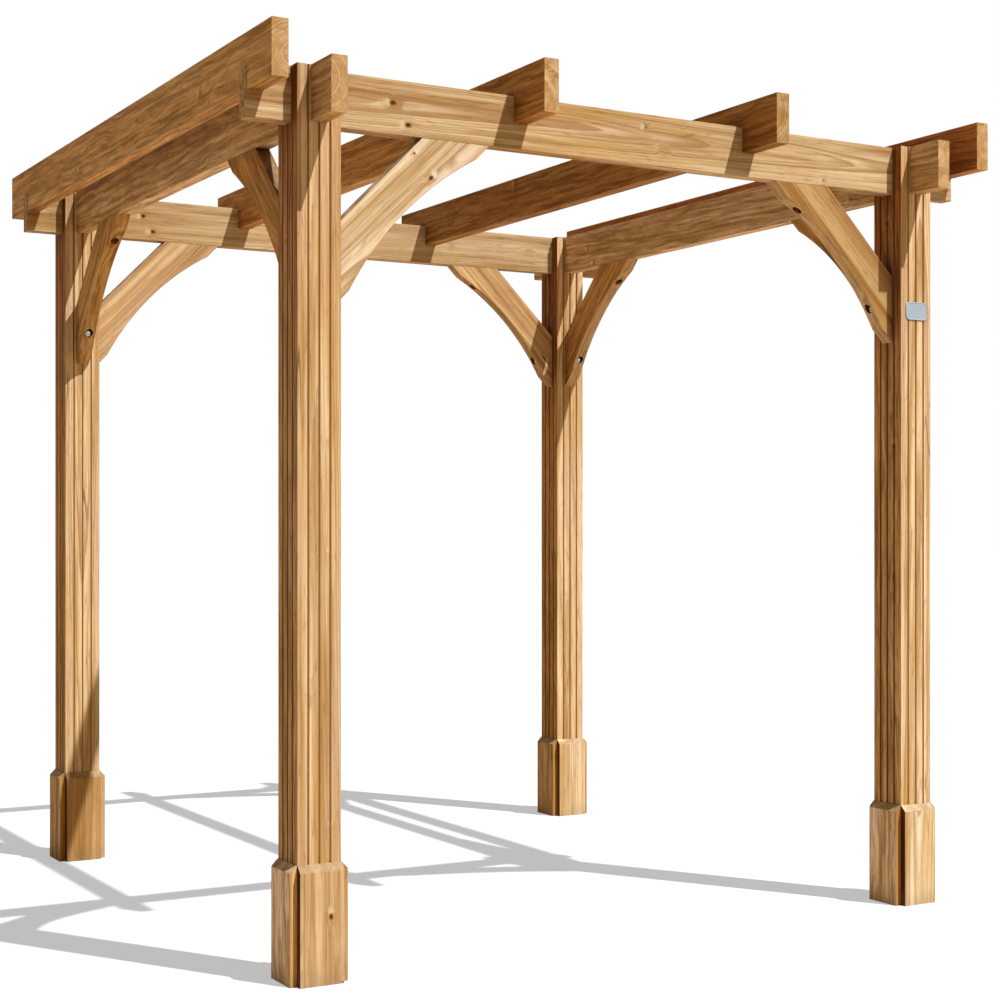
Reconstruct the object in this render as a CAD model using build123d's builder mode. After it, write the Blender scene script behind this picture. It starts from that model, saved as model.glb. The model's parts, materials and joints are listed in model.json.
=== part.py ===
from build123d import *
import os
from math import sqrt

# A square open garden pergola of sawn and planed timber.
# X runs along the front from left to right, Y from the front to the back, and Z up.
# The origin is on the ground under the middle of the frame. Lengths are in millimetres.

# Posts, with grooves down each face and a crossed slot in the top
post_width = 123
post_height = 2357
post_spacing = 2030
groove_count = 3
groove_width = 7
groove_depth = 5

# Beams and rafters, all cut from one size of board
member_thickness = 45
member_depth = 145
beam_overhang = 123.5
beam_lap_share = 0.5

# Rafters, let into the tops of the front and back beams
rafter_count = 4
rafter_inset = 2
rafter_lap = 74
rafter_notch_share = 0.8

# Knee braces, with a hollowed inner edge and a counterbored bolt at each end
brace_reach = 462.5
brace_width = 145
brace_nib = 59
brace_hollow = 39
bolt_hole_diameter = 11
counterbore_diameter = 26
bolt_seat = 58

# Skirting boards around the feet of the posts
skirt_height = 310
skirt_thickness = 20
skirt_bevel = 19
skirt_land = 2

# Softened corners along the timbers, and how far cuts run past the wood
edge_ease = 1
overrun = 10

# Places that follow from the sizes above
half_post = post_width / 2
half_spacing = post_spacing / 2
half_length = half_spacing + half_post + beam_overhang
groove_pitch = post_width / (groove_count + 1)
beam_bottom = post_height - member_depth
beam_middle = post_height - member_depth / 2
beam_lap = member_depth * beam_lap_share
rafter_bottom = post_height - rafter_lap
rafter_notch = rafter_lap * rafter_notch_share
rafter_seat = rafter_lap - rafter_notch
outer_rafter = half_length - rafter_inset - member_thickness / 2
rafter_pitch = 2 * outer_rafter / (rafter_count - 1)
rafter_places = [index * rafter_pitch - outer_rafter for index in range(rafter_count)]
cut_width = member_thickness + overrun

rows = {"front": -1, "back": 1}
columns = {"left": -1, "right": 1}
face_directions = {"front": (0, -1), "back": (0, 1), "left": (-1, 0), "right": (1, 0)}

os.makedirs("parts", exist_ok=True)


def save(piece, node):
    """Label a finished piece and write its file."""
    piece.part.label = node
    export_step(piece.part, f"parts/{node}.step")


def make_post(node, x, y):
    """A square post, grooved on all faces, with four prongs left round the slot in its top."""
    with BuildPart() as post:
        with BuildSketch(Plane((x, y, 0))) as section:
            Rectangle(post_width, post_width)
            chamfer(section.vertices(), edge_ease)
            with PolarLocations(half_post, len(face_directions)):
                with GridLocations(0, groove_pitch, 1, groove_count):
                    Polygon(
                        (overrun, -groove_width / 2),
                        (overrun, groove_width / 2),
                        (0, groove_width / 2),
                        (-groove_depth, 0),
                        (0, -groove_width / 2),
                        align=None,
                        mode=Mode.SUBTRACT,
                    )
        extrude(amount=post_height)
        with BuildSketch(Plane((x, y, beam_bottom))):
            Rectangle(post_width + overrun, member_thickness)
            Rectangle(member_thickness, post_width + overrun)
        extrude(amount=member_depth + overrun, mode=Mode.SUBTRACT)
    save(post, node)


def board_section(plane):
    """The section that beams and rafters share, with softened corners."""
    with BuildSketch(plane) as section:
        Rectangle(member_thickness, member_depth)
        chamfer(section.vertices(), edge_ease)
    return section.sketch


def make_cross_beam(node, y):
    """A beam along X, cut from above for the side beams and for the rafters."""
    section = board_section(Plane((0, y, beam_middle), x_dir=(0, 1, 0), z_dir=(1, 0, 0)))
    with BuildPart() as beam:
        extrude(section, amount=half_length, both=True)
        with Locations(*[(side * half_spacing, y, post_height) for side in columns.values()]):
            Box(member_thickness, cut_width, 2 * beam_lap, mode=Mode.SUBTRACT)
        with Locations(*[(place, y, post_height) for place in rafter_places[1:-1]]):
            Box(member_thickness, cut_width, 2 * rafter_seat, mode=Mode.SUBTRACT)
        # The seats of the outer rafters run out through the ends of the beam.
        with Locations(*[(side * half_length, y, post_height) for side in columns.values()]):
            Box(2 * (rafter_inset + member_thickness), cut_width, 2 * rafter_seat, mode=Mode.SUBTRACT)
    save(beam, node)


def make_side_beam(node, x):
    """A beam along Y, cut from below to sit down over the front and back beams."""
    section = board_section(Plane((x, 0, beam_middle), x_dir=(-1, 0, 0), z_dir=(0, 1, 0)))
    with BuildPart() as beam:
        extrude(section, amount=half_length, both=True)
        with Locations(*[(x, side * half_spacing, beam_bottom) for side in rows.values()]):
            Box(cut_width, member_thickness, 2 * (member_depth - beam_lap), mode=Mode.SUBTRACT)
    save(beam, node)


def make_rafter(node, x):
    """A rafter along Y, notched from below over the front and back beams."""
    middle = rafter_bottom + member_depth / 2
    section = board_section(Plane((x, 0, middle), x_dir=(-1, 0, 0), z_dir=(0, 1, 0)))
    with BuildPart() as rafter:
        extrude(section, amount=half_length, both=True)
        with Locations(*[(x, side * half_spacing, rafter_bottom) for side in rows.values()]):
            Box(cut_width, member_thickness, 2 * rafter_notch, mode=Mode.SUBTRACT)
    save(rafter, node)


def make_brace(node, post_x, post_y, way_x, way_y):
    """A knee brace in the corner of a post and a beam, leaning out the given way from the post."""
    outer_leg = brace_reach - brace_width * sqrt(2)
    bolt_place = (brace_reach + outer_leg) / 2
    nib_step = brace_nib / sqrt(2)
    hollow_step = brace_hollow / sqrt(2)
    corner_x = post_x + way_x * half_post
    corner_y = post_y + way_y * half_post
    side = Plane((corner_x, corner_y, beam_bottom), x_dir=(way_x, way_y, 0), z_dir=(way_y, -way_x, 0))
    upper_nib = (brace_reach - nib_step, -nib_step)
    lower_nib = (nib_step, nib_step - brace_reach)
    hollow = (brace_reach / 2 - hollow_step, hollow_step - brace_reach / 2)
    with BuildPart() as brace:
        with BuildSketch(side):
            with BuildLine():
                Polyline(
                    lower_nib,
                    (0, -brace_reach),
                    (0, -outer_leg),
                    (outer_leg, 0),
                    (brace_reach, 0),
                    upper_nib,
                )
                ThreePointArc(upper_nib, hollow, lower_nib)
            make_face()
        extrude(amount=member_thickness / 2, both=True)
        chamfer(brace.faces().filter_by(side).edges(), edge_ease)
        # One bolt goes up into the beam and one level into the post, both from the hollow edge.
        bolt_x = corner_x + way_x * bolt_place
        bolt_y = corner_y + way_y * bolt_place
        up_start = Plane((bolt_x, bolt_y, beam_bottom - brace_reach), z_dir=(0, 0, -1))
        side_x = corner_x + way_x * brace_reach
        side_y = corner_y + way_y * brace_reach
        level_start = Plane((side_x, side_y, beam_bottom - bolt_place), z_dir=(way_x, way_y, 0))
        with Locations(up_start, level_start):
            CounterBoreHole(
                bolt_hole_diameter / 2,
                counterbore_diameter / 2,
                brace_reach - bolt_seat,
                brace_reach,
            )
    save(brace, node)


def make_skirt(node, post_x, post_y, way_x, way_y):
    """A skirting board standing on the ground against one face of a post, bevelled along its top."""
    foot = (post_x + way_x * half_post, post_y + way_y * half_post, 0)
    outward = Axis(foot, (way_x, way_y, 0))
    with BuildPart() as skirt:
        with BuildSketch(Plane(foot, x_dir=(way_x, way_y, 0), z_dir=(way_y, -way_x, 0))):
            with BuildLine():
                Polyline(
                    (0, 0),
                    (skirt_thickness, 0),
                    (skirt_thickness, skirt_height - skirt_bevel),
                    (skirt_land, skirt_height),
                    (0, skirt_height),
                    close=True,
                )
            make_face()
        extrude(amount=half_post, both=True)
        outer_corners = skirt.edges().filter_by(Axis.Z).group_by(outward)[-1]
        chamfer(outer_corners, edge_ease)
    save(skirt, node)


for row, row_side in rows.items():
    make_cross_beam(f"beam_{row}", row_side * half_spacing)
    for column, column_side in columns.items():
        x, y = column_side * half_spacing, row_side * half_spacing
        make_post(f"post_{row}_{column}", x, y)
        make_brace(f"brace_{row}_beam_{column}", x, y, -column_side, 0)
        make_brace(f"brace_{column}_beam_{row}", x, y, 0, -row_side)
        for face, (way_x, way_y) in face_directions.items():
            make_skirt(f"skirt_{row}_{column}_{face}", x, y, way_x, way_y)

for column, column_side in columns.items():
    make_side_beam(f"beam_{column}", column_side * half_spacing)

for number, place in enumerate(rafter_places, start=1):
    make_rafter(f"rafter_{number}", place)
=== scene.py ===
# %% [markdown]
# # A square timber pergola
# The CAD frame brings four grooved posts, crossed beams, notched rafters, knee braces and skirting
# boards, and all of them keep their CAD shape. This lesson gives them a stained softwood finish that
# runs through the wood, with painted shade on faces out of the sun and in nooks, adds the bolts and a
# small bare plate, and sets up the light and the camera.

# %% Load the frame
import json
import math
import random

import bmesh
import bpy
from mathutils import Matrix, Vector

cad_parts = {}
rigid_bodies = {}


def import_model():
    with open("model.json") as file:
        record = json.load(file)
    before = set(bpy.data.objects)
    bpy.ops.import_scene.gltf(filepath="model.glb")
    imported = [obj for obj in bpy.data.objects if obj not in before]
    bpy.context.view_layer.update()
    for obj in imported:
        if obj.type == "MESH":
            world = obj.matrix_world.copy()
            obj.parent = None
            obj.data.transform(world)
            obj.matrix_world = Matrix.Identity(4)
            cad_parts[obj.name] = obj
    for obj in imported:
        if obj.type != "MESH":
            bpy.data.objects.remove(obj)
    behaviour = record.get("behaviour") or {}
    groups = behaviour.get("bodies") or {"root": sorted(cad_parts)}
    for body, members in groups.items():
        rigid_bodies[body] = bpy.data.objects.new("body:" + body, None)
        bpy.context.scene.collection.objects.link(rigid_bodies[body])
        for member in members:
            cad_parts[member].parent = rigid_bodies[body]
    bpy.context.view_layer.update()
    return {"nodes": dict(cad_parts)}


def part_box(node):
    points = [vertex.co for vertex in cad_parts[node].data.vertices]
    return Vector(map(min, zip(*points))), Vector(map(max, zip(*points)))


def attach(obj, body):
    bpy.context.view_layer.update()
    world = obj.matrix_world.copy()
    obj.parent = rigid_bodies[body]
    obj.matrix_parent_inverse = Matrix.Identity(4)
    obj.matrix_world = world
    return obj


for leftover in list(bpy.data.objects):
    bpy.data.objects.remove(leftover)

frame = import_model()
nodes = frame["nodes"]

# %% [markdown]
# ## Camera
# The picture was taken from about chest height, a few metres off the front left corner, with upright
# lines kept upright. A level camera with a little vertical shift does the same: tilting it would make
# the posts lean. Its place and lens come from fitting the edges of the timbers to the picture.

# %% Camera
camera_data = bpy.data.cameras.new("camera")
camera = bpy.data.objects.new("camera", camera_data)
bpy.context.scene.collection.objects.link(camera)
camera.location = (-2.937, -5.354, 1.169)
camera.rotation_euler = (math.radians(90), 0, math.radians(-29.867))
camera_data.sensor_width = 36
camera_data.lens = 65.52
camera_data.shift_y = 0.0285
bpy.context.scene.camera = camera
print("camera at", tuple(camera.location))

# %% [markdown]
# ## Node helpers
# Shader trees get long when every node is wired by hand. These few functions add a node, fill its
# inputs with values or links, and hand back the socket that the next node needs. Wood is built up in
# layers, so two of them lay one colour over another through a mask.

# %% Node helpers
def feed(tree, target, value):
    """Link a socket, or set a plain value."""
    if isinstance(value, bpy.types.NodeSocket):
        tree.links.new(value, target)
    else:
        target.default_value = value


def put(tree, kind, inputs, **settings):
    """Add a node with these settings and inputs."""
    made = tree.nodes.new(kind)
    for name, value in settings.items():
        setattr(made, name, value)
    for name, value in inputs.items():
        feed(tree, made.inputs[name], value)
    return made


def calc(tree, operation, *terms):
    """A Math node's result."""
    return put(tree, "ShaderNodeMath", dict(enumerate(terms)), operation=operation).outputs[0]


def scaled(tree, value, gain, base=0.0):
    """The value times a gain, plus a base."""
    return calc(tree, "MULTIPLY_ADD", value, gain, base)


def vector(tree, operation, *terms):
    """A Vector Math node's result: a vector, or a number for a dot product or a length."""
    made = put(tree, "ShaderNodeVectorMath", dict(enumerate(terms)), operation=operation)
    return made.outputs["Value" if operation in ("DOT_PRODUCT", "LENGTH") else "Vector"]


def ease(tree, value, low, high, start=0.0, end=1.0):
    """A soft step of the value from low to high."""
    inputs = {"Value": value, "From Min": low, "From Max": high, "To Min": start, "To Max": end}
    return put(tree, "ShaderNodeMapRange", inputs, interpolation_type="SMOOTHSTEP").outputs["Result"]


def mix(tree, factor, first, second):
    """Two colours mixed by a factor. A Mix node's colours are its inputs 6 and 7 and its output 2."""
    return put(tree, "ShaderNodeMix", {0: factor, 6: first, 7: second}, data_type="RGBA").outputs[2]


def lay(tree, color, mask, strength, over):
    """A colour with another laid over it, as far as the mask times the strength."""
    return mix(tree, calc(tree, "MULTIPLY", mask, strength), color, over)


def tint(tree, color, mask, strength, factor):
    """A colour multiplied by a factor, as far as the mask times the strength."""
    return lay(tree, color, mask, strength, vector(tree, "MULTIPLY", color, factor))


print("helpers for values and colours ready")

# %% [markdown]
# ### Places and groups
# The next few helpers find the point being shaded, take vectors and colours apart, and stretch noise
# along a direction. A node group is a small tree with named sockets. Materials that use the same group
# share its nodes, so 36 boards don't need 36 copies of the same wiring.

# %% Place and group helpers
def noise(tree, place, stretch, detail=2.0, roughness=0.5):
    """Noise over a place that is stretched first, so that it can run long with the grain."""
    spread = vector(tree, "MULTIPLY", place, stretch)
    inputs = {"Vector": spread, "Scale": 1.0, "Detail": detail, "Roughness": roughness}
    return put(tree, "ShaderNodeTexNoise", inputs)


def parts(tree, value):
    """The X, Y and Z of a vector."""
    return put(tree, "ShaderNodeSeparateXYZ", {"Vector": value}).outputs


def channels(tree, color):
    """The red, green and blue of a colour."""
    return put(tree, "ShaderNodeSeparateColor", {"Color": color}).outputs


def object_place(tree):
    """The point being shaded, in the object's own space."""
    return put(tree, "ShaderNodeTexCoord", {}).outputs["Object"]


def new_group(name, inputs, outputs):
    """An empty node group with named sockets. Returns its tree, its inputs and its outputs."""
    kinds = {"f": "NodeSocketFloat", "v": "NodeSocketVector", "c": "NodeSocketColor"}
    tree = bpy.data.node_groups.new(name, "ShaderNodeTree")
    for label, (kind, value) in inputs.items():
        tree.interface.new_socket(label, in_out="INPUT", socket_type=kinds[kind]).default_value = value
    for label, kind in outputs.items():
        tree.interface.new_socket(label, in_out="OUTPUT", socket_type=kinds[kind])
    return tree, tree.nodes.new("NodeGroupInput").outputs, tree.nodes.new("NodeGroupOutput").inputs


def use_group(tree, name, inputs):
    """Place a node group and feed it. Returns its outputs."""
    made = tree.nodes.new("ShaderNodeGroup")
    made.node_tree = bpy.data.node_groups[name]
    for label, value in inputs.items():
        feed(tree, made.inputs[label], value)
    return made.outputs


print("helpers for places and groups ready")

# %% [markdown]
# ## Where a point lies in its log
# Sawn timber shows the tree it came from. Each board gets its own log: a heart line, which is the
# middle of the tree, and a direction along the grain. Every point is then told by how far it lies
# across and along that log, so that rings carry round the corners and show as rings on a cut end.

# %% Board place group
origin = (0, 0, 0)
board_frame = {
    "Heart": ("v", origin),
    "Along": ("v", (0, 0, 1)),
    "Across": ("v", (1, 0, 0)),
    "Lean": ("v", origin),
}
tree, given, result = new_group("board place", board_frame, {"Place": "v", "End": "f", "Edge": "f"})
point = vector(tree, "SUBTRACT", object_place(tree), given["Heart"])
along = vector(tree, "DOT_PRODUCT", point, given["Along"])
side = vector(tree, "DOT_PRODUCT", point, given["Across"])
third = vector(tree, "CROSS_PRODUCT", given["Along"], given["Across"])
deep = vector(tree, "DOT_PRODUCT", point, third)
straight = put(tree, "ShaderNodeCombineXYZ", {"X": side, "Y": deep, "Z": along}).outputs[0]
leaning = vector(tree, "MULTIPLY", given["Lean"], along)
feed(tree, result["Place"], vector(tree, "ADD", straight, leaning))
normal = put(tree, "ShaderNodeNewGeometry", {}).outputs["Normal"]
for output, way in (("End", given["Along"]), ("Edge", third)):
    facing = calc(tree, "ABSOLUTE", vector(tree, "DOT_PRODUCT", normal, way))
    feed(tree, result[output], ease(tree, facing, 0.8, 0.97))
print("group board place:", len(tree.nodes), "nodes")

# %% [markdown]
# ## Knots
# A knot is where a branch left the trunk, so it runs outward from the heart like a spoke. Voronoi
# cells, long with the grain, each hold one spoke at most. Painting knots one by one would take long,
# so only the plainest, at most two on a board, are listed. The group tells how near a knot is,
# how far the grain has to bend round it, and where the pale wood beside it shows.

# %% Knots group
nowhere = (0, 0, -9)
cell_size = (0.09, 0.09, 0.3)
spoke_share = 0.6
chance_stretch, set_stretch = (1, 1, 0.7), (0.2, 1, 0.7)
too_far = 9.0
tree, given, result = new_group(
    "knots",
    {
        "Place": ("v", origin), "Seed": ("f", 0.0), "Size": ("f", 0.009), "Share": ("f", 0.5),
        "First": ("v", nowhere), "Second": ("v", nowhere),
    },
    {"Core": "f", "Pith": "f", "Halo": "f", "Pale": "f", "Bend": "f"},
)
ragged = scaled(tree, noise(tree, given["Place"], (130, 130, 80), 3.0, 0.6).outputs[0], 0.9, 0.55)


def ragged_reach(offset, stretch):
    """How far a point lies from the middle of a knot, with a ragged outline."""
    length = vector(tree, "LENGTH", vector(tree, "MULTIPLY", offset, stretch))
    return calc(tree, "MULTIPLY", length, ragged)


cell = vector(tree, "ADD", vector(tree, "DIVIDE", given["Place"], cell_size), given["Seed"])
voronoi = put(tree, "ShaderNodeTexVoronoi", {"Vector": cell, "Scale": 1.0, "Randomness": 0.6},
              voronoi_dimensions="3D", feature="F1")
away = vector(tree, "SUBTRACT", cell, voronoi.outputs["Position"])
away = vector(tree, "MULTIPLY", away, cell_size)
middle = vector(tree, "SUBTRACT", given["Place"], away)
spoke = vector(tree, "NORMALIZE", vector(tree, "MULTIPLY", middle, (1, 1, 0)))
outward = calc(tree, "MULTIPLY", vector(tree, "DOT_PRODUCT", away, spoke), spoke_share)
aside = vector(tree, "SUBTRACT", away, vector(tree, "MULTIPLY", spoke, outward))
chance = channels(tree, voronoi.outputs["Color"])
size = calc(tree, "MULTIPLY", given["Size"], scaled(tree, chance[0], 0.9, 0.35))
missing = calc(tree, "GREATER_THAN", chance[1], given["Share"])
share = calc(tree, "DIVIDE", ragged_reach(aside, chance_stretch), size)
share = calc(tree, "ADD", share, calc(tree, "MULTIPLY", missing, too_far))
for label in ("First", "Second"):
    offset = vector(tree, "SUBTRACT", given["Place"], given[label])
    set_share = calc(tree, "DIVIDE", ragged_reach(offset, set_stretch), given["Size"])
    nearer = calc(tree, "LESS_THAN", set_share, share)
    away = mix(tree, nearer, away, offset)
    size = mix(tree, nearer, size, given["Size"])
    share = calc(tree, "MINIMUM", share, set_share)
halo = ease(tree, share, 4.0, 0.9)
lengthwise = parts(tree, vector(tree, "DIVIDE", away, size))["Z"]
flash = ease(tree, calc(tree, "DIVIDE", lengthwise, share), 0.7, 1.3)
feed(tree, result["Core"], ease(tree, share, 1.35, 0.7))
feed(tree, result["Pith"], ease(tree, share, 0.95, 0.35))
feed(tree, result["Halo"], halo)
feed(tree, result["Pale"], calc(tree, "MULTIPLY", ease(tree, share, 3.6, 1.4), flash))
feed(tree, result["Bend"], calc(tree, "MULTIPLY", halo, size))
print("group knots:", len(tree.nodes), "nodes")

# %% [markdown]
# ## Growth rings
# Each year adds a pale soft band and a thin dark hard one. The distance from the heart, counted in
# ring widths, gives the bands. Slow noise makes the trunk wander, which draws the tall arches seen on
# flat-sawn boards. A wave texture would be quicker, but its bands would all be alike.

# %% Growth rings group
middle_grey = (0.5, 0.5, 0.5)
tree, given, result = new_group(
    "growth rings",
    {
        "Place": ("v", origin), "Seed": ("f", 0.0), "Ring": ("f", 0.005), "Wander": ("f", 0.012),
        "Bend": ("f", 0.0),
    },
    {"Late": "f", "Tone": "f"},
)
seeded = vector(tree, "ADD", given["Place"], given["Seed"])
drift = noise(tree, seeded, (4, 4, 0.8), 2.0).outputs["Color"]
drift = vector(tree, "MULTIPLY", vector(tree, "SUBTRACT", drift, middle_grey), given["Wander"])
moved = vector(tree, "ADD", given["Place"], vector(tree, "MULTIPLY", drift, (2, 2, 0)))
radius = vector(tree, "LENGTH", vector(tree, "MULTIPLY", moved, (1, 1, 0)))
ripple = noise(tree, seeded, (60, 60, 5), 3.0).outputs[0]
radius = calc(tree, "ADD", radius, calc(tree, "MULTIPLY", ripple, 0.003))
radius = calc(tree, "ADD", radius, given["Bend"])
years = calc(tree, "DIVIDE", radius, given["Ring"])
weather_inputs = {"W": scaled(tree, years, 0.4, given["Seed"]), "Scale": 1.0, "Detail": 1.0}
weather = put(tree, "ShaderNodeTexNoise", weather_inputs, noise_dimensions="1D").outputs[0]
years = calc(tree, "ADD", years, calc(tree, "MULTIPLY", weather, 2.5))
season = calc(tree, "FRACT", years)
late = calc(tree, "MULTIPLY", ease(tree, season, 0.2, 0.85), ease(tree, season, 1.0, 0.93))
year = calc(tree, "ADD", calc(tree, "FLOOR", years), given["Seed"])
year_tone = put(tree, "ShaderNodeTexWhiteNoise", {"W": year}, noise_dimensions="1D")
feed(tree, result["Late"], late)
feed(tree, result["Tone"], year_tone.outputs["Value"])
print("group growth rings:", len(tree.nodes), "nodes")

# %% [markdown]
# ## Fibre, stain and drying checks
# Between the rings the wood shows fine fibre lines, and a brushed stain takes unevenly in long streaks
# and patches. The streaks waver, as fibres do round the swellings of a trunk: they are read at places
# that slow noise has pushed a little sideways. Timber that dries outdoors also opens in narrow checks
# along the grain.

# %% Fibre and stain group
waver_reach = (0.04, 0.04, 0)
tree, given, result = new_group(
    "fibre and stain",
    {"Place": ("v", origin), "Seed": ("f", 0.0)},
    {"Fibre": "f", "Dash": "f", "Streak": "f", "Mottle": "f", "Gold": "f", "Rose": "f", "Check": "f"},
)
seeded = vector(tree, "ADD", given["Place"], given["Seed"])
waver = noise(tree, seeded, (13, 13, 5), 2.0).outputs["Color"]
waver = vector(tree, "SUBTRACT", waver, middle_grey)
wavy = vector(tree, "ADD", seeded, vector(tree, "MULTIPLY", waver, waver_reach))
fibre = noise(tree, seeded, (330, 330, 9), 3.0, 0.6).outputs[0]
dash = noise(tree, wavy, (130, 130, 13), 3.0, 0.6).outputs[0]
streak = noise(tree, seeded, (30, 30, 1.0), 4.0, 0.6).outputs[0]
# Patches that later mottle the faces in painted shade and the worn corners.
mottle = noise(tree, wavy, (75, 75, 3.6), 4.0, 0.62).outputs[0]
patch = channels(tree, noise(tree, seeded, (11, 11, 1.3), 3.0).outputs["Color"])
ridge = noise(tree, seeded, (16, 16, 0.5), 1.0).outputs[0]
ridge = calc(tree, "ABSOLUTE", calc(tree, "SUBTRACT", ridge, 0.5))
opened = ease(tree, noise(tree, seeded, (9, 9, 1.3), 1.0).outputs[0], 0.58, 0.68)
feed(tree, result["Fibre"], fibre)
feed(tree, result["Dash"], ease(tree, dash, 0.54, 0.74))
feed(tree, result["Streak"], ease(tree, streak, 0.3, 0.68))
feed(tree, result["Mottle"], ease(tree, mottle, 0.33, 0.67))
feed(tree, result["Gold"], ease(tree, patch[0], 0.48, 0.66))
feed(tree, result["Rose"], ease(tree, patch[1], 0.48, 0.66))
feed(tree, result["Check"], calc(tree, "MULTIPLY", ease(tree, ridge, 0.007, 0.002), opened))
print("group fibre and stain:", len(tree.nodes), "nodes")

# %% [markdown]
# ## Painted shade and wear
# Faces turned from the sun get painted shade, and back faces are kept mostly free of it. Nooks, where
# beams, posts and boards meet, get a painted dark red shade, and so do shaded faces high up under the
# rafters. Undersides get a painted lighter tone for light bounced up from the floor. Ledges gather dirt
# and painted shade, rain splashes the feet of the posts, and slanting faces mark worn corners, partly
# with painted light, and grooves with painted shade. Normals, height and ambient occlusion find all of
# these without painting a mask by hand.

# %% Painted shade and wear group
sunward = (0.26, -0.45, 0.85)
backward = (0, 1, 0)
roof_start, roof_full = 1.2, 2.25
splash_spread, splash_top, splash_full = 0.12, 0.02, -0.06
tree, given, result = new_group(
    "painted shade and wear",
    {"Sunward": ("v", sunward), "Occlusion reach": ("f", 0.2)},
    {
        "Lit look": "f", "Nook shade": "f", "Roof shade": "f", "Underside bounce": "f", "Ledge dirt and shade": "f", "Slant": "f",
        "Fore": "f", "Splash": "f",
    },
)
place = object_place(tree)
height = parts(tree, place)["Z"]
normal = put(tree, "ShaderNodeNewGeometry", {}).outputs["Normal"]
# How far a face looks to the sun, with back faces kept mostly free of painted shade; the rest of each face
# gets painted shade.
lit_look = ease(tree, vector(tree, "DOT_PRODUCT", normal, given["Sunward"]), -0.3, 0.4)
back_unshaded = ease(tree, vector(tree, "DOT_PRODUCT", normal, backward), 0.75, 0.95, 0.0, 0.8)
lit_look = calc(tree, "MAXIMUM", lit_look, back_unshaded)
painted_shade_share = calc(tree, "SUBTRACT", 1.0, lit_look)
open_sky = put(tree, "ShaderNodeAmbientOcclusion", {"Distance": given["Occlusion reach"]}, samples=2)
open_sky = open_sky.outputs["AO"]
# Painted shade in nooks found by ambient occlusion: on faces out of the sun, and in deep nooks on any face.
nook_shade = calc(tree, "MULTIPLY", ease(tree, open_sky, 0.97, 0.35), painted_shade_share)
nook_shade = calc(tree, "MAXIMUM", nook_shade, ease(tree, open_sky, 0.38, 0.16))
facing = parts(tree, vector(tree, "ABSOLUTE", normal))
straight = calc(tree, "MAXIMUM", facing["Y"], facing["Z"])
straight = calc(tree, "MAXIMUM", facing["X"], straight)
level = parts(tree, normal)["Z"]
dirt_and_shade = ease(tree, noise(tree, place, (16, 16, 16), 4.0, 0.6).outputs[0], 0.2, 0.6)
spread = calc(tree, "MULTIPLY", noise(tree, place, (14, 14, 9), 3.0).outputs[0], splash_spread)
splashed = calc(tree, "SUBTRACT", height, spread)
feed(tree, result["Lit look"], lit_look)
feed(tree, result["Nook shade"], nook_shade)
# Painted shade under the roof: faces out of the sun darken towards the top.
feed(tree, result["Roof shade"], calc(tree, "MULTIPLY", ease(tree, height, roof_start, roof_full), painted_shade_share))
# Painted light on undersides, for light bounced up from the floor.
feed(tree, result["Underside bounce"], ease(tree, level, -0.8, -0.95))
# Ledges: upward faces darkened in patches, partly dirt and partly painted shade.
feed(tree, result["Ledge dirt and shade"], calc(tree, "MULTIPLY", ease(tree, level, 0.35, 0.75), dirt_and_shade))
feed(tree, result["Slant"], ease(tree, straight, 0.95, 0.85))
# The walls of a groove in a front or back face look mostly to the left or right. There the painted groove
# shade takes its lighter, lit copy.
feed(tree, result["Fore"], ease(tree, facing["X"], 0.65, 0.78))
feed(tree, result["Splash"], ease(tree, splashed, splash_top, splash_full))
print("group painted shade and wear:", len(tree.nodes), "nodes")

# %% [markdown]
# ## Painted shade in bolt holes
# The wood inside a bolt hole gets painted shade that turns it nearly black. The hole could have a
# material slot of its own, but any point of a brace that lies within the hole's radius of the line of a
# bolt belongs to that hole, so a distance is enough to find it.

# %% Bolt hole shade group
hole_radius, hole_lip = 0.0131, 0.0136
tree, given, result = new_group(
    "bolt hole shade",
    {"Upper": ("v", origin), "Lower": ("v", origin), "Out": ("v", (1, 0, 0))},
    {"Mask": "f"},
)
place = object_place(tree)
masks = []
for label, line in (("Upper", (0, 0, 1)), ("Lower", given["Out"])):
    away = vector(tree, "CROSS_PRODUCT", vector(tree, "SUBTRACT", place, given[label]), line)
    masks.append(ease(tree, vector(tree, "LENGTH", away), hole_lip, hole_radius))
feed(tree, result["Mask"], calc(tree, "MAXIMUM", *masks))
print("group bolt hole shade:", len(tree.nodes), "nodes")

# %% [markdown]
# ## Colours of the stain and painted shade
# One pot of honey-brown stain gives many colours, because wood drinks it unevenly. Some colours here are
# painted shade and light instead: the mottle of faces out of the sun, the shade in grooves, on skirting
# edges, under the roof, in nooks and in bolt holes, and the lighter tone of undersides. Naming each
# colour once keeps the next group readable. Colours with four numbers go into a colour mix, and those
# with three into a vector multiplication.

# %% Stain and painted shade colours
deep_stain, pale_stain = (0.41, 0.215, 0.065, 1), (0.83, 0.61, 0.345, 1)
gold_stain, rosy_stain = (0.58, 0.33, 0.09, 1), (0.66, 0.44, 0.29, 1)
late_wood, dash_brown = (0.36, 0.17, 0.05, 1), (0.24, 0.105, 0.03, 1)
knot_halo, knot_flash = (0.42, 0.20, 0.055, 1), (0.93, 0.74, 0.47, 1)
knot_core, knot_pith = (0.27, 0.105, 0.018, 1), (0.055, 0.018, 0.004, 1)
check_brown, splash_brown = (0.12, 0.055, 0.02, 1), (0.24, 0.17, 0.10, 1)
# Painted shade: the mottle of faces out of the sun.
shade_mottle_deep, shade_mottle_light = (0.64, 0.57, 0.47, 1), (1.36, 1.40, 1.60, 1)
# Painted shade in grooves: a dark copy for side faces and a lighter lit copy for front and back faces.
groove_side_shade, groove_fore_lit = (0.13, 0.05, 0.018, 1), (0.66, 0.46, 0.22, 1)
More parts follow.
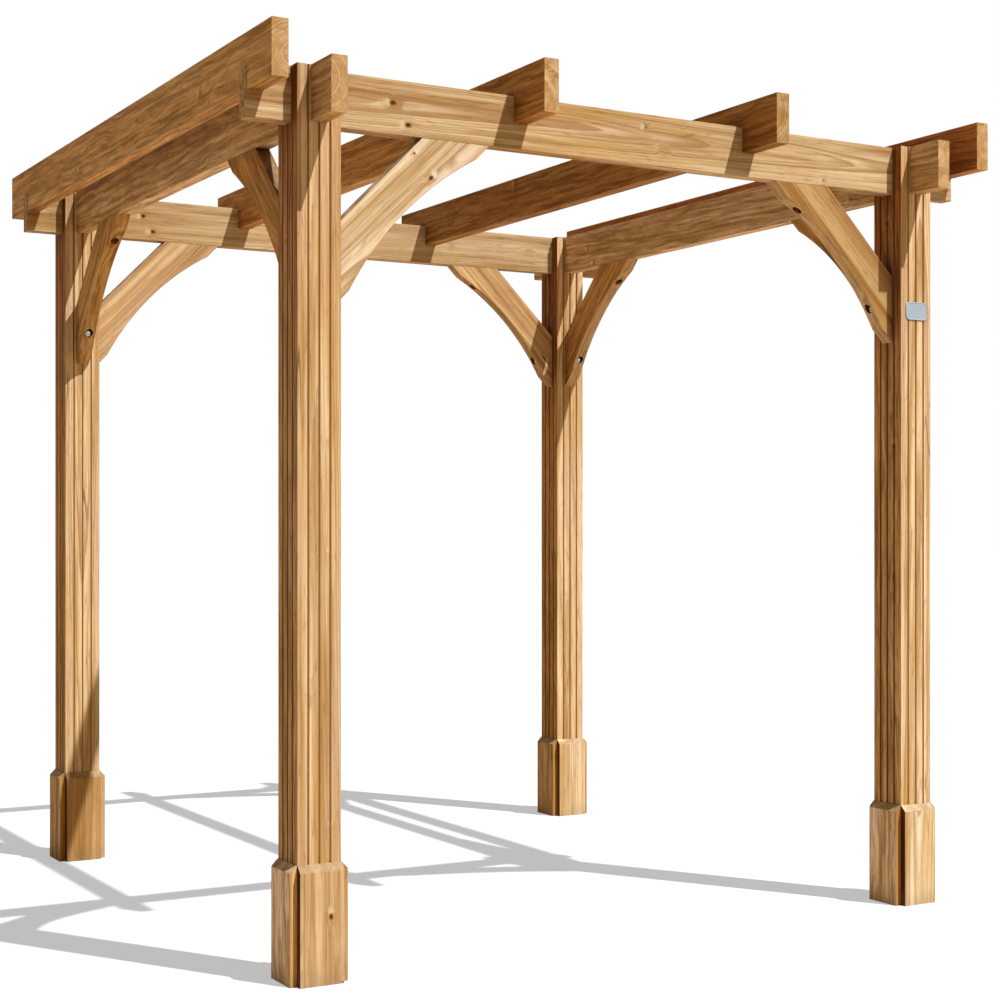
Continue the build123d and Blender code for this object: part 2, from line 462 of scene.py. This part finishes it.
# Skirting edges: painted shade out of the sun, a darker end stain in it.
edge_shaded, edge_sunlit = (0.16, 0.07, 0.05, 1), (0.78, 0.60, 0.32, 1)
# Painted shade evens the wood towards the even colour; the worn colour is partly wear and partly painted
# light.
end_wood, shade_even_wood, worn_and_lit_wood = (0.50, 0.29, 0.11), (0.57, 0.355, 0.15), (0.86, 0.62, 0.37)
# Painted shade under the roof, in nooks and in bolt holes.
roof_shade_tint, nook_shade_tint, hole_shade_tint = (0.6, 0.36, 0.22), (0.22, 0.10, 0.06), (0.4, 0.2, 0.12)
# Painted light: undersides lighter, standing in for light bounced up from the floor.
underside_bounce_tint = (1.25, 1.25, 1.25)
print("stain from", deep_stain[:3], "to", pale_stain[:3])

# %% [markdown]
# ## Stained softwood
# This group puts the others together as one honey-brown timber. It starts with the wood as it looks in
# the sun, before any painted shade: streaks of pale and deep stain, gold and rosy patches, thin dark
# rings, short dark dashes, knots with a dark pith and a pale flash, checks, and rings on the cut ends.

# %% Stained softwood group: the wood
tree, given, result = new_group(
    "stained softwood",
    {
        **board_frame,
        "Seed": ("f", 0.0), "Ring": ("f", 0.005), "Knot size": ("f", 0.009), "Knot share": ("f", 0.5),
        "First knot": ("v", nowhere), "Second knot": ("v", nowhere),
        "Tone": ("c", (1, 1, 1, 1)), "Shade": ("c", (1, 1, 1, 1)), "Ledge dirt and shade": ("c", (0.36, 0.25, 0.14, 1)),
        "Worn and lit": ("f", 0.0), "Groove shade": ("f", 0.0), "Roof shade": ("f", 0.0), "Nook shade": ("f", 1.0),
        "Edge stain and shade": ("f", 0.0), "End": ("f", 0.3),
    },
    {"Color": "c", "Roughness": "f", "Height": "f"},
)
log = use_group(tree, "board place", {name: given[name] for name in board_frame})
in_log = {"Place": log["Place"], "Seed": given["Seed"]}
knot = use_group(tree, "knots", {
    **in_log, "Size": given["Knot size"], "Share": given["Knot share"],
    "First": given["First knot"], "Second": given["Second knot"],
})
ring = use_group(tree, "growth rings", {**in_log, "Ring": given["Ring"], "Bend": knot["Bend"]})
stain = use_group(tree, "fibre and stain", in_log)
wear = use_group(tree, "painted shade and wear", {})
color = mix(tree, stain["Streak"], deep_stain, pale_stain)
color = lay(tree, color, stain["Gold"], 0.5, gold_stain)
color = lay(tree, color, stain["Rose"], 0.45, rosy_stain)
color = lay(tree, color, ring["Late"], scaled(tree, ring["Tone"], 0.6, 0.12), late_wood)
fibre = scaled(tree, stain["Fibre"], 0.48, 0.78)
color = vector(tree, "MULTIPLY", color, fibre)
# Dark dashes are laid on stronger in painted shade than in sun.
color = lay(tree, color, stain["Dash"], ease(tree, wear["Lit look"], 0.0, 1.0, 0.8, 0.45), dash_brown)
color = lay(tree, color, knot["Halo"], 0.35, knot_halo)
color = lay(tree, color, knot["Pale"], 0.6, knot_flash)
color = lay(tree, color, knot["Core"], 0.8, knot_core)
color = lay(tree, color, knot["Pith"], 0.9, knot_pith)
color = lay(tree, color, stain["Check"], 0.75, check_brown)
end_grain = scaled(tree, ring["Late"], -0.4, 1.12)
end_grain = scaled(tree, stain["Dash"], -0.25, end_grain)
color = lay(tree, color, log["End"], given["End"], vector(tree, "MULTIPLY", end_wood, end_grain))
color = vector(tree, "MULTIPLY", color, given["Tone"])
print("wood colour:", len(tree.nodes), "nodes")

# %% [markdown]
# ### Painted shade and wear
# Faces out of the sun get painted shade: an evened copy of the colour, mottled so that the deep streaks
# turn warm and the light ones rosy, and undersides get a painted lighter tone for light bounced up from
# the floor. Then come the worn corners, partly wear and partly painted light, and painted shade in the
# grooves, under the roof, on the edges of the skirting and in the nooks, then the ledges with dirt and
# painted shade and the splashed feet, each laid over the last.

# %% Stained softwood group: painted shade and wear
shade_even_share = 0.4
# Painted shade: faces out of the sun take an evened, mottled and tinted copy of the colour.
painted_shade_share = calc(tree, "SUBTRACT", 1.0, wear["Lit look"])
shade_mottle = mix(tree, stain["Mottle"], shade_mottle_deep, shade_mottle_light)
shade_mottle = vector(tree, "MULTIPLY", given["Shade"], shade_mottle)
shade_evened = mix(tree, shade_even_share, color, vector(tree, "MULTIPLY", given["Tone"], shade_even_wood))
color = mix(tree, painted_shade_share, color, vector(tree, "MULTIPLY", shade_evened, shade_mottle))
# Painted light: undersides lighter.
color = tint(tree, color, wear["Underside bounce"], 1.0, underside_bounce_tint)
# Worn corners: partly wear, and partly painted light on the hollow edges of braces.
rubbed_and_lit = scaled(tree, stain["Mottle"], 0.5, 0.6)
rubbed_and_lit = scaled(tree, stain["Dash"], -0.35, rubbed_and_lit)
rubbed_and_lit = vector(tree, "MULTIPLY", worn_and_lit_wood, calc(tree, "MULTIPLY", rubbed_and_lit, fibre))
color = lay(tree, color, wear["Slant"], given["Worn and lit"], rubbed_and_lit)
# Painted shade in the grooves.
groove_shade = mix(tree, wear["Fore"], groove_side_shade, groove_fore_lit)
color = lay(tree, color, wear["Slant"], given["Groove shade"], groove_shade)
# Painted shade under the roof.
color = tint(tree, color, wear["Roof shade"], given["Roof shade"], roof_shade_tint)
# Skirting edges: painted shade out of the sun, only a darker end stain in it.
edge_stain_and_shade = mix(tree, wear["Lit look"], edge_shaded, edge_sunlit)
color = tint(tree, color, log["Edge"], given["Edge stain and shade"], edge_stain_and_shade)
# Painted shade in nooks.
color = tint(tree, color, wear["Nook shade"], given["Nook shade"], nook_shade_tint)
# Ledges: dirt and painted shade.
color = lay(tree, color, wear["Ledge dirt and shade"], 0.7, given["Ledge dirt and shade"])
color = lay(tree, color, wear["Splash"], 0.3, splash_brown)
feed(tree, result["Color"], color)
print("with shade and wear:", len(tree.nodes), "nodes")

# %% [markdown]
# ### Feel of the surface
# Hard late wood is smoother and stands a little proud of the soft early wood. Cut ends and splashed
# feet are rougher, and checks and the pith of a knot are sunk.

# %% Stained softwood group: roughness and height
rough = scaled(tree, stain["Fibre"], 0.2, 0.55)
rough = scaled(tree, ring["Late"], -0.1, rough)
rough = scaled(tree, calc(tree, "MAXIMUM", log["End"], wear["Splash"]), 0.2, rough)
feed(tree, result["Roughness"], rough)
high = scaled(tree, ring["Late"], 0.4, calc(tree, "MULTIPLY", stain["Fibre"], 0.5))
high = scaled(tree, calc(tree, "MAXIMUM", stain["Check"], knot["Pith"]), -0.9, high)
feed(tree, result["Height"], high)
print("group stained softwood:", len(tree.nodes), "nodes")

# %% [markdown]
# ## How each board was cut
# Posts and skirting boards have their grain upright, beams and rafters have it lengthwise, and braces
# have it on the slant. The same direction tells where the two bolts of a brace go: one up into the beam
# and one level into the post, each seated in a hole bored from the hollow edge.

# %% Directions of the boards
brace_width, bolt_seat = 0.145, 0.058
slant = math.sqrt(0.5)
crosswise = ("front", "back")


def directions(name):
    """Along the grain, and across the thin way of the board."""
    kind, first, *rest = name.split("_")
    if kind == "post":
        return (0, 0, 1), (1, 0, 0)
    if kind == "skirt":
        return (0, 0, 1), (0, 1, 0) if rest[-1] in crosswise else (1, 0, 0)
    if kind == "brace":
        up = {"left": 1, "right": -1, "front": 1, "back": -1}[rest[-1]] * slant
        return ((up, 0, slant), (0, 1, 0)) if first in crosswise else ((0, up, slant), (1, 0, 0))
    return ((-1, 0, 0), (0, 1, 0)) if first in crosswise else ((0, 1, 0), (1, 0, 0))


def brace_seats(name):
    """Where the two bolts of a brace are seated, and the level way out of the lower hole."""
    low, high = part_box(name)
    along = directions(name)[0]
    axis = 0 if along[0] else 1
    out = Vector((0, 0, 0))
    out[axis] = math.copysign(1, along[axis])
    corner = (low + high) / 2
    corner[axis] = low[axis] if out[axis] > 0 else high[axis]
    corner.z = high.z
    place = high.z - low.z - brace_width * slant
    upper = corner + out * place - Vector((0, 0, bolt_seat))
    lower = corner + out * bolt_seat - Vector((0, 0, place))
    return upper, lower, out


print("grain of beam_front runs", directions("beam_front")[0])

# %% [markdown]
# ## What tells the boards apart
# Boards of one delivery differ. The first table gives how pale and how light some boards are, the next
# ones the wear and painted shade of each kind of board, and then of single boards, and the last one
# where the plainest knots sit, in metres. Shade multiplies a board's colour out of the sun, as painted
# shade.

# %% Tables of the boards
tones = {
    "beam_front": (0.45, 0.86), "beam_back": (0.3, 0.79), "beam_left": (0.0, 1.0),
    "rafter_1": (0.1, 1.0), "rafter_2": (0.0, 1.0), "rafter_3": (-0.1, 0.83), "rafter_4": (-0.2, 1.0),
    "post_front_left": (0.4, 1.03), "post_front_right": (0.8, 1.06),
    "post_back_left": (0.3, 1.04), "post_back_right": (0.5, 1.07),
    "brace_front_beam_left": (2.0, 0.87), "brace_front_beam_right": (-1.0, 0.82),
    "brace_back_beam_left": (0.3, 0.95), "brace_back_beam_right": (-0.5, 0.95),
    "brace_left_beam_back": (0.7, 1.0),
    "skirt_front_left_front": (0.0, 0.96), "skirt_front_left_left": (2.1, 1.0),
    "skirt_front_right_front": (2.4, 0.94), "skirt_front_right_left": (2.1, 1.0),
    "skirt_back_left_front": (-1.0, 0.93), "skirt_back_right_front": (3.8, 0.96),
}
wear_by_kind = {
    "post": {"Groove shade": 0.85, "Roof shade": 0.75, "Shade": (0.92, 0.80, 0.63, 1)},
    "beam": {"Worn and lit": 0.35, "Nook shade": 0.35, "Shade": (1.0, 0.97, 0.92, 1)},
    "rafter": {"Worn and lit": 0.35, "Nook shade": 0.8, "Shade": (0.80, 0.60, 0.36, 1)},
    # Braces get nearly black ledges: painted shade.
    "brace": {"Roof shade": 0.3, "Shade": (0.97, 0.85, 0.55, 1), "Ledge dirt and shade": (0.03, 0.014, 0.01, 1)},
    "skirt": {
        "Nook shade": 0.0, "Edge stain and shade": 1.0, "Shade": (1.0, 0.96, 0.9, 1), "Ledge dirt and shade": (0.30, 0.21, 0.13, 1),
    },
}
wear_by_name = {
    "post_back_left": {"Shade": (0.83, 0.65, 0.37, 1)},
    "post_back_right": {"Shade": (0.81, 0.62, 0.35, 1)},
    "post_front_left": {"Shade": (0.94, 0.85, 0.75, 1)},
    # On braces these values lighten the hollow edges as painted light.
    "brace_front_beam_left": {"Worn and lit": 0.6},
    "brace_front_beam_right": {"Worn and lit": 1.0},
    "brace_back_beam_left": {"Worn and lit": 0.5},
    "brace_back_beam_right": {"Worn and lit": 0.5},
    "brace_right_beam_back": {"Worn and lit": 0.85},
    "brace_right_beam_front": {"Worn and lit": 0.65},
    "beam_left": {"Shade": (1.14, 1.2, 1.25, 1), "End": 0.65, "Nook shade": 0.7},
    "beam_right": {"Shade": (1.08, 1.1, 1.2, 1)},
    "rafter_1": {"Shade": (1.02, 0.88, 0.67, 1), "End": 0.6},
    "rafter_2": {"Shade": (0.88, 0.68, 0.42, 1)},
    "rafter_4": {"Shade": (0.96, 0.66, 0.48, 1)},
    "skirt_front_left_left": {"Shade": (1.3, 1.36, 1.65, 1)},
    "skirt_front_right_left": {"Shade": (1.2, 1.25, 1.5, 1)},
}
for post in ("front_left", "front_right", "back_left", "back_right"):
    wear_by_name[f"skirt_{post}_right"] = {"Edge stain and shade": 0.2}
set_knots = {
    "beam_front": ((-0.785, -1.037, 2.295), (-0.74, -1.037, 2.241)),
    "beam_back": ((-0.78, 0.992, 2.298), (-0.743, 0.992, 2.244)),
    "beam_right": ((0.993, 0.782, 2.289), (0.993, 0.74, 2.228)),
    "rafter_1": ((-1.198, -0.705, 2.341), (-1.198, 0.38, 2.325)),
    "brace_front_beam_left": ((-0.671, -1.037, 2.107),),
    "skirt_front_left_front": ((-0.991, -1.096, 0.175),),
}
print(len(tones), "toned boards,", len(set_knots), "boards with set knots")

# %% [markdown]
# ## A finish for every timber
# No two boards come from the same log. A seeded random number picks each board's heart, lean, knots and
# depth of stain, so that the same boards come out each time. Posts hold the heart of the tree, and
# boards are sawn beside it.

# %% Timber materials
# What a paler board gains in red, green and blue
paleness = (0.12, 0.2, 0.36)
# How far the heart may lie beside a sawn board, and stray the thin way and the wide way
beside_range, thin_range, wide_range = (0.035, 0.075), (-0.015, 0.015), (-0.03, 0.03)
lean_range, pale_range, seed_range = (-0.02, 0.02), (-0.35, 0.35), (0, 90)
ring_range, knot_range = (0.0042, 0.006), (0.0055, 0.008)
knot_share = 0.42
first_seed = 100


def timber(name, seed):
    """A stained softwood material for one board."""
    chance = random.Random(seed)
    along, thin = (Vector(way) for way in directions(name))
    wide = along.cross(thin)
    low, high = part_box(name)
    kind = name.split("_")[0]
    beside = 0.0 if kind == "post" else chance.choice((-1, 1)) * chance.uniform(*beside_range)
    heart = (low + high) / 2 + thin * (beside + chance.uniform(*thin_range))
    heart += wide * chance.uniform(*wide_range)
    lean = Vector((chance.uniform(*lean_range), chance.uniform(*lean_range), 0))
    pale, light = tones.get(name, (chance.uniform(*pale_range), 1.0))
    marks = {}
    for label, spot in zip(("First knot", "Second knot"), set_knots.get(name, ())):
        offset = Vector(spot) - heart
        inside = Vector((offset.dot(thin), offset.dot(wide), offset.dot(along)))
        marks[label] = inside + lean * inside.z
    made = bpy.data.materials.new(name)
    made.use_nodes = True
    tree = made.node_tree
    softwood = use_group(tree, "stained softwood", {
        "Heart": heart, "Along": along, "Across": thin, "Lean": lean,
        "Seed": chance.uniform(*seed_range),
        "Ring": chance.uniform(*ring_range),
        "Knot size": chance.uniform(*knot_range),
        "Knot share": knot_share,
        "Tone": (*(light * (1 + share * pale) for share in paleness), 1),
        **(wear_by_kind[kind] | wear_by_name.get(name, {}) | marks),
    })
    color = softwood["Color"]
    if kind == "brace":
        upper, lower, out = brace_seats(name)
        # Painted shade inside the bolt holes.
        hole_shade = use_group(tree, "bolt hole shade", {"Upper": upper, "Lower": lower, "Out": out})
        color = tint(tree, color, hole_shade["Mask"], 1.0, hole_shade_tint)
    bump = put(tree, "ShaderNodeBump", {"Strength": 0.5, "Distance": 0.0007, "Height": softwood["Height"]})
    shader = tree.nodes["Principled BSDF"]
    feed(tree, shader.inputs["Base Color"], color)
    feed(tree, shader.inputs["Roughness"], softwood["Roughness"])
    feed(tree, shader.inputs["Normal"], bump.outputs[0])
    shader.inputs["Specular IOR Level"].default_value = 0.04
    return made


for number, name in enumerate(sorted(nodes)):
    finish = timber(name, first_seed + number)
    for place in nodes[name].material_slots:
        place.material = finish
print(len(nodes), "timber materials")

# %% [markdown]
# ## Skins over rows of points
# Bolts, washers and plates are small, but they are seen from close by. Primitives with modifiers could
# shape them. Here each is a stack of outlines, and a skin of quads joins every outline to the next, so
# that each step of the shape is one row. Edges sharper than an angle are then kept crisp.

# %% Skins over rows of points
sharp_angle = math.radians(35)


def rings_to_mesh(name, loops, closed=False):
    """A mesh skinned over rows of points: capped at both ends, or closed from the last row to the first."""
    shape = bmesh.new()
    rows = [[shape.verts.new(point) for point in loop] for loop in loops]
    pairs = list(zip(rows, rows[1:])) + ([(rows[-1], rows[0])] if closed else [])
    for lower, upper in pairs:
        for index in range(len(lower)):
            after = (index + 1) % len(lower)
            shape.faces.new((lower[index], lower[after], upper[after], upper[index]))
    if not closed:
        shape.faces.new(reversed(rows[0]))
        shape.faces.new(rows[-1])
    for face in shape.faces:
        face.smooth = True
    bmesh.ops.recalc_face_normals(shape, faces=shape.faces)
    mesh = bpy.data.meshes.new(name)
    shape.to_mesh(mesh)
    shape.free()
    mesh.set_sharp_from_angle(angle=sharp_angle)
    return mesh


print("edges over", round(math.degrees(sharp_angle)), "degrees stay crisp")

# %% [markdown]
# ## Bolts
# Each brace end is drawn up by a bolt with a six-sided head on a washer, sunk in its counterbore. A
# plain cylinder with six sides would look like a cut pencil. A turned shape whose radius follows a
# hexagon, cut by a cone at the top, gives the scalloped chamfer of a real bolt head.

# %% Bolts
def at_angle(size, angle):
    """A size that may follow the angle."""
    return size(angle) if callable(size) else size


def turned(radius, height, count=48):
    """A ring of points. The radius and height may follow the angle."""
    points = []
    for index in range(count):
        angle = 2 * math.pi * index / count
        reach = at_angle(radius, angle)
        points.append((reach * math.cos(angle), reach * math.sin(angle), at_angle(height, angle)))
    return points


across_flats, head_height, chamfer_angle = 0.017, 0.0064, math.radians(30)
shank_radius, shank_length = 0.0049, 0.038
dimple_outer, dimple_inner, dimple_depth = 0.0052, 0.0046, 0.0004
washer_thickness, washer_hole, washer_radius = 0.002, 0.0053, 0.011
low_edge_radius, low_edge_height = 0.0107, 0.0003
high_edge_radius, high_edge_height = 0.0106, 0.0016
head_top = washer_thickness + head_height
flat_radius = 0.475 * across_flats


def hexagon(angle):
    """How far a six-sided head reaches at this angle."""
    return across_flats / 2 / math.cos((angle + math.pi / 6) % (math.pi / 3) - math.pi / 6)


def shoulder(angle):
    """The height at which the sides meet the cone of the chamfer."""
    return head_top - (hexagon(angle) - flat_radius) * math.tan(chamfer_angle)


bolt_mesh = rings_to_mesh("bolt", [
    turned(shank_radius, -shank_length),
    turned(shank_radius, washer_thickness),
    turned(hexagon, washer_thickness),
    turned(hexagon, shoulder),
    turned(flat_radius, head_top),
    turned(dimple_outer, head_top),
    turned(dimple_inner, head_top - dimple_depth),
])
washer_mesh = rings_to_mesh("washer", [
    turned(washer_hole, 0.0),
    turned(low_edge_radius, 0.0),
    turned(washer_radius, low_edge_height),
    turned(washer_radius, high_edge_height),
    turned(high_edge_radius, washer_thickness),
    turned(washer_hole, washer_thickness),
], closed=True)
print("bolt", len(bolt_mesh.polygons), "faces, washer", len(washer_mesh.polygons), "faces")

# %% [markdown]
# ### Zinc
# A zinc coat is not even: it sets in small crystals that each reflect a little differently, and it
# dulls in cloudy patches. Voronoi cells give the crystals, and noise the clouds.

# %% Zinc material
zinc_dark, zinc_bright, zinc_dull = (0.78, 0.73, 0.62, 1), (0.92, 0.88, 0.78, 1), (0.64, 0.58, 0.46, 1)
zinc = bpy.data.materials.new("bolt_zinc")
zinc.use_nodes = True
tree = zinc.node_tree
place = object_place(tree)
crystal = put(tree, "ShaderNodeTexVoronoi", {"Vector": place, "Scale": 600.0}).outputs["Color"]
crystal = channels(tree, crystal)[0]
cloud = ease(tree, noise(tree, place, (220, 220, 220), 3.0).outputs[0], 0.35, 0.7)
color = lay(tree, mix(tree, crystal, zinc_dark, zinc_bright), cloud, 0.5, zinc_dull)
rough = scaled(tree, cloud, 0.2, scaled(tree, crystal, 0.08, 0.28))
bump = put(tree, "ShaderNodeBump", {"Strength": 0.25, "Distance": 0.0002, "Height": cloud})
shader = tree.nodes["Principled BSDF"]
shader.inputs["Metallic"].default_value = 0.7
feed(tree, shader.inputs["Base Color"], color)
feed(tree, shader.inputs["Roughness"], rough)
feed(tree, shader.inputs["Normal"], bump.outputs[0])
for mesh in (bolt_mesh, washer_mesh):
    mesh.materials.append(zinc)
print("zinc:", len(tree.nodes), "nodes")

# %% [markdown]
# ### Bolts in place
# Two bolts hold each brace: one goes up into the beam and one level into the post. All bolts share one
# mesh and all washers another, since real ones come from one box. A rotation points each out of its
# hole.

# %% Place the bolts
def seat_piece(name, mesh, seat, way):
    """Stand a mesh on a seat, pointing out of its hole."""
    piece = bpy.data.objects.new(name, mesh)
    bpy.context.scene.collection.objects.link(piece)
    piece.rotation_mode = "QUATERNION"
    piece.rotation_quaternion = Vector(way).to_track_quat("Z", "X")
    piece.location = seat
    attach(piece, "root")


bolts = 0
for name in sorted(nodes):
    if not name.startswith("brace"):
        continue
    upper, lower, out = brace_seats(name)
    for end, seat, way in (("upper", upper, (0, 0, -1)), ("lower", lower, out)):
        seat_piece(f"bolt_{name}_{end}", bolt_mesh, seat, way)
        seat_piece(f"washer_{name}_{end}", washer_mesh, seat, way)
        bolts += 1
print(bolts, "bolts with washers")

# %% [markdown]
# ## Bare plate
# A small pale metal plate with rounded corners and a low rim sits on the front right post. A bevelled
# box would do from afar, but rows of points round a shrinking outline also make the rim, the step
# inside it and the flat field.

# %% Plate
plate_wide, plate_high, plate_corner, plate_thick = 0.087, 0.055, 0.015, 0.0026
rim_round, rim_inset, field_inset, field_sunk = 0.0006, 0.0028, 0.0034, 0.0007
plate_aside, plate_level = 0.001, 1.8465
corner_steps = 8


def plate_outline(inset, height):
    """A rounded rectangle, taken in by the inset and lifted off the post."""
    points = []
    radius = plate_corner - inset
    for quarter, (right, up) in enumerate(((1, 1), (-1, 1), (-1, -1), (1, -1))):
        middle_x = right * (plate_wide / 2 - plate_corner)
        middle_y = up * (plate_high / 2 - plate_corner)
        for step in range(corner_steps + 1):
            angle = math.pi / 2 * (quarter + step / corner_steps)
            points.append((middle_x + radius * math.cos(angle), middle_y + radius * math.sin(angle), height))
    return points


plate_mesh = rings_to_mesh("plate", [
    plate_outline(0, 0),
    plate_outline(0, plate_thick - rim_round),
    plate_outline(rim_round, plate_thick),
    plate_outline(rim_inset, plate_thick),
    plate_outline(field_inset, plate_thick - field_sunk),
])
plate = bpy.data.objects.new("blank_plate", plate_mesh)
bpy.context.scene.collection.objects.link(plate)
low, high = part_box("post_front_right")
plate.rotation_euler = (math.radians(90), 0, 0)
plate.location = ((low.x + high.x) / 2 + plate_aside, low.y, plate_level)
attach(plate, "root")
print("plate", len(plate_mesh.polygons), "faces")

# %% [markdown]
# ### Satin metal
# The plate is pale blue-grey metal, brushed from side to side. Noise that is stretched hard one way
# draws the brush lines, and a slow cloud dulls some of them.

# %% Plate material
satin_dark, satin_light, satin_dull = (0.33, 0.41, 0.47, 1), (0.44, 0.53, 0.60, 1), (0.40, 0.44, 0.46, 1)
satin = bpy.data.materials.new("blank_plate")
satin.use_nodes = True
tree = satin.node_tree
place = object_place(tree)
brushed = noise(tree, place, (30, 2600, 30), 3.0, 0.6).outputs[0]
cloud = ease(tree, noise(tree, place, (38, 38, 38), 3.0).outputs[0], 0.4, 0.68)
color = lay(tree, mix(tree, brushed, satin_dark, satin_light), cloud, 0.35, satin_dull)
rough = scaled(tree, brushed, 0.12, scaled(tree, cloud, 0.15, 0.38))
bump = put(tree, "ShaderNodeBump", {"Strength": 0.2, "Distance": 0.0002, "Height": brushed})
shader = tree.nodes["Principled BSDF"]
shader.inputs["Metallic"].default_value = 0.3
feed(tree, shader.inputs["Base Color"], color)
feed(tree, shader.inputs["Roughness"], rough)
feed(tree, shader.inputs["Normal"], bump.outputs[0])
plate_mesh.materials.append(satin)
print("satin metal:", len(tree.nodes), "nodes")

# %% [markdown]
# ## Sun and sky
# A high sun from the front right gives crisp shadows, and a dim warm sky fills them. The sky is brighter
# in front and behind than at the sides. The camera sees plain white instead: a Light Path node tells
# its rays from those that only carry light.

# %% Sun and sky
sun_from = Vector((0.31, -0.527, 1))
sun_data = bpy.data.lights.new("sun", "SUN")
sun_data.energy = 5.1
sun_data.angle = math.radians(0.6)
sun = bpy.data.objects.new("sun", sun_data)
bpy.context.scene.collection.objects.link(sun)
sun.rotation_euler = (-sun_from).to_track_quat("-Z", "Y").to_euler()


def shown_rays(tree):
    """One where the camera, a mirror or glass looks, and nought for light that bounces."""
    ray = put(tree, "ShaderNodeLightPath", {}).outputs
    seen = calc(tree, "MAXIMUM", ray["Is Camera Ray"], ray["Is Glossy Ray"])
    return calc(tree, "MAXIMUM", seen, ray["Is Transmission Ray"])


def shown_or_bounced(tree, bounced, shown):
    """One shader for bouncing light and another for what is looked at."""
    inputs = {0: shown_rays(tree), 1: bounced.outputs[0], 2: shown.outputs[0]}
    return put(tree, "ShaderNodeMixShader", inputs).outputs[0]


white = (1, 1, 1, 1)
sky_front, sky_back = (1.0, 0.79, 0.56, 1), (1.0, 0.93, 0.82, 1)
world = bpy.data.worlds.new("sky")
bpy.context.scene.world = world
world.use_nodes = True
tree = world.node_tree
tree.nodes.clear()
way = put(tree, "ShaderNodeTexCoord", {}).outputs["Generated"]
toward = vector(tree, "DOT_PRODUCT", way, (0, -1, 0))
strength = ease(tree, toward, -0.1, 1.0, 0.14, 0.32)
strength = calc(tree, "ADD", strength, ease(tree, toward, -0.3, -1.0, 0.0, 0.3))
warm = mix(tree, ease(tree, toward, 0.0, -0.8), sky_front, sky_back)
fill = put(tree, "ShaderNodeBackground", {"Color": warm, "Strength": strength})
backdrop = put(tree, "ShaderNodeBackground", {"Color": white, "Strength": 1.0})
surface = tree.nodes.new("ShaderNodeOutputWorld").inputs["Surface"]
feed(tree, surface, shown_or_bounced(tree, fill, backdrop))
bpy.context.scene.view_settings.view_transform = "Standard"
print("sun height", round(math.degrees(math.atan2(sun_from.z, sun_from.xy.length)), 1), "degrees")

# %% [markdown]
# ## Floor
# The floor shows the camera a bright white with grey shadows. Light that bounces off it is dimmer and
# warmer, as it would be from pale stone, so that it doesn't wash out the shaded faces of the timber.

# %% Floor
floor_reach = 60
floor_mesh = bpy.data.meshes.new("floor")
shape = bmesh.new()
bmesh.ops.create_grid(shape, x_segments=4, y_segments=4, size=floor_reach)
shape.to_mesh(floor_mesh)
shape.free()
floor = bpy.data.objects.new("floor", floor_mesh)
bpy.context.scene.collection.objects.link(floor)
floor_finish = bpy.data.materials.new("floor")
floor_finish.use_nodes = True
tree = floor_finish.node_tree
tree.nodes.clear()
bounce = put(tree, "ShaderNodeBsdfDiffuse", {"Color": (0.39, 0.305, 0.2, 1)})
glow = put(tree, "ShaderNodeEmission", {"Color": white, "Strength": 0.44})
lit = put(tree, "ShaderNodeBsdfDiffuse", {"Color": (0.38, 0.435, 0.53, 1)})
bright = put(tree, "ShaderNodeAddShader", {0: glow.outputs[0], 1: lit.outputs[0]})
surface = tree.nodes.new("ShaderNodeOutputMaterial").inputs["Surface"]
feed(tree, surface, shown_or_bounced(tree, bounce, bright))
floor_mesh.materials.append(floor_finish)
print("floor reaches", floor_reach, "m each way")
